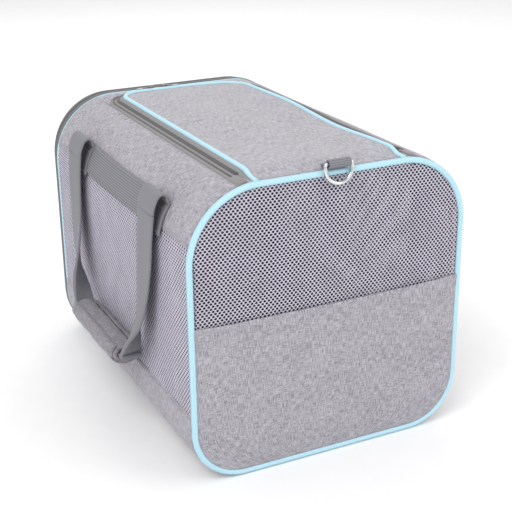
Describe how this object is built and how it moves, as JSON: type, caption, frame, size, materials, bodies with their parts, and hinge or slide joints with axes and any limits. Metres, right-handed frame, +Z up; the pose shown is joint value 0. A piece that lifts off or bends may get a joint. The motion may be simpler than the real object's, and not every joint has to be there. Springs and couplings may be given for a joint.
{
  "type": "pet transport carrier",
  "caption": "Soft-sided rounded-square pet carrier with mesh windows, a zipped top lid and end door, hanging webbing handles and D-ring loops.",
  "frame": {"origin": "centre of the base's underside, under the middle of the front-to-rear length of the base", "axes": "+Z up, the front end panel faces -Y, the width runs along X"},
  "size_m": [0.3497, 0.4101, 0.2962],
  "materials": {
    "heather_fabric": "woven heather polyester",
    "mesh_fabric": "perforated knitted mesh",
    "piping_blue": "light blue edge piping",
    "webbing": "ribbed polyester webbing",
    "grip_fabric": "padded fabric wrap",
    "zip_tape": "coil zip on woven tape",
    "binding_grey": "woven edge binding",
    "zip_metal": "nickel-plated",
    "ring_chrome": "polished",
    "frame_wire": "drawn wire",
    "base_board": "stiff board",
    "fleece": "fleece pile"
  },
  "bodies": {
    "shell": {"front_piping": "piping_blue", "front_mesh_window": "mesh_fabric", "front_lower_panel": "heather_fabric", "front_bow_wire": "frame_wire", "right_upper_panel": "heather_fabric", "left_upper_panel": "heather_fabric", "right_mesh_window": "mesh_fabric", "left_mesh_window": "mesh_fabric", "right_lower_panel": "heather_fabric", "left_lower_panel": "heather_fabric", "bottom_panel": "heather_fabric", "front_top_strip": "heather_fabric", "rear_top_strip": "heather_fabric", "lid_zip_body_tape": "zip_tape", "right_corner_piping": "piping_blue", "left_corner_piping": "piping_blue", "rear_piping": "piping_blue", "rear_bow_wire": "frame_wire", "rear_gusset": "binding_grey", "rear_zip_body_tape": "zip_tape", "rear_bottom_gusset": "binding_grey", "base_board": "base_board", "fleece_mat": "fleece", "front_ring_loop": "webbing", "right_front_handle_tail": "webbing", "left_front_handle_tail": "webbing", "right_rear_handle_tail": "webbing", "left_rear_handle_tail": "webbing", "right_handle_band": "webbing", "left_handle_band": "webbing"},
    "lid": {"lid_panel": "heather_fabric", "lid_piping": "piping_blue", "lid_zip_tape": "zip_tape"},
    "rear_door": {"rear_zip_door_tape": "zip_tape", "rear_door_gusset": "binding_grey", "rear_door_binding": "binding_grey", "rear_door_mesh_window": "mesh_fabric", "rear_door_lower_panel": "heather_fabric"},
    "left_handle": {"left_handle_webbing": "webbing", "grip_wrap": "grip_fabric"},
    "grip_flap": {"grip_flap": "grip_fabric"},
    "right_handle": {"right_handle_webbing": "webbing"},
    "front_ring": {"front_d_ring": "ring_chrome"},
    "lid_left_slider": {"lid_left_slider": "zip_metal"},
    "lid_left_pull": {"lid_left_pull": "zip_metal"},
    "lid_right_slider": {"lid_right_slider": "zip_metal"},
    "lid_right_pull": {"lid_right_pull": "zip_metal"},
    "rear_upper_slider": {"rear_upper_slider": "zip_metal"},
    "rear_upper_pull": {"rear_upper_pull": "zip_metal"},
    "rear_lower_slider": {"rear_lower_slider": "zip_metal"},
    "rear_lower_pull": {"rear_lower_pull": "zip_metal"}
  },
  "joints": [
    {"name": "lid_hinge", "type": "hinge", "parent": "shell", "child": "lid", "pos_m": [0, -0.178, 0.2902], "axis": [1, 0, 0], "range_deg": [0, 150]},
    {"name": "rear_door_hinge", "type": "hinge", "parent": "shell", "child": "rear_door", "pos_m": [0, 0.1985, 0.008], "axis": [-1, 0, 0], "range_deg": [0, 90]},
    {"name": "left_handle_hinge", "type": "hinge", "parent": "shell", "child": "left_handle", "pos_m": [-0.137, -0.0195, 0.262], "axis": [0, 1, 0], "range_deg": [0, 185]},
    {"name": "right_handle_hinge", "type": "hinge", "parent": "shell", "child": "right_handle", "pos_m": [0.1452, -0.0195, 0.2475], "axis": [0, -1, 0], "range_deg": [0, 185]},
    {"name": "grip_flap_hinge", "type": "hinge", "parent": "left_handle", "child": "grip_flap", "pos_m": [-0.1717, -0.0193, 0.0981], "axis": [0, 1, 0], "range_deg": [0, 110]},
    {"name": "front_ring_hinge", "type": "hinge", "parent": "shell", "child": "front_ring", "pos_m": [0.003, -0.2045, 0.292], "axis": [1, 0, 0], "range_deg": [-95, 0]},
    {"name": "lid_left_slide", "type": "slide", "parent": "shell", "child": "lid_left_slider", "axis": [-1, 0, 0], "range_m": [0, 0.012]},
    {"name": "lid_right_slide", "type": "slide", "parent": "shell", "child": "lid_right_slider", "axis": [1, 0, 0], "range_m": [0, 0.055]},
    {"name": "rear_upper_slide", "type": "slide", "parent": "shell", "child": "rear_upper_slider", "axis": [0, 0, 1], "range_m": [0, 0.03]},
    {"name": "rear_lower_slide", "type": "slide", "parent": "shell", "child": "rear_lower_slider", "axis": [0, 0, 1], "range_m": [-0.08, 0]},
    {"name": "lid_left_pull_hinge", "type": "hinge", "parent": "lid_left_slider", "child": "lid_left_pull", "pos_m": [-0.032, 0.1598, 0.2897], "axis": [0, 1, 0], "range_deg": [0, 160]},
    {"name": "lid_right_pull_hinge", "type": "hinge", "parent": "lid_right_slider", "child": "lid_right_pull", "pos_m": [-0.016, 0.1598, 0.2897], "axis": [0, -1, 0], "range_deg": [0, 160]},
    {"name": "rear_upper_pull_hinge", "type": "hinge", "parent": "rear_upper_slider", "child": "rear_upper_pull", "pos_m": [0.1468, 0.187, 0.178], "axis": [0, -1, 0], "range_deg": [0, 160]},
    {"name": "rear_lower_pull_hinge", "type": "hinge", "parent": "rear_lower_slider", "child": "rear_lower_pull", "pos_m": [0.1468, 0.187, 0.15], "axis": [0, -1, 0], "range_deg": [0, 160]}
  ]
}
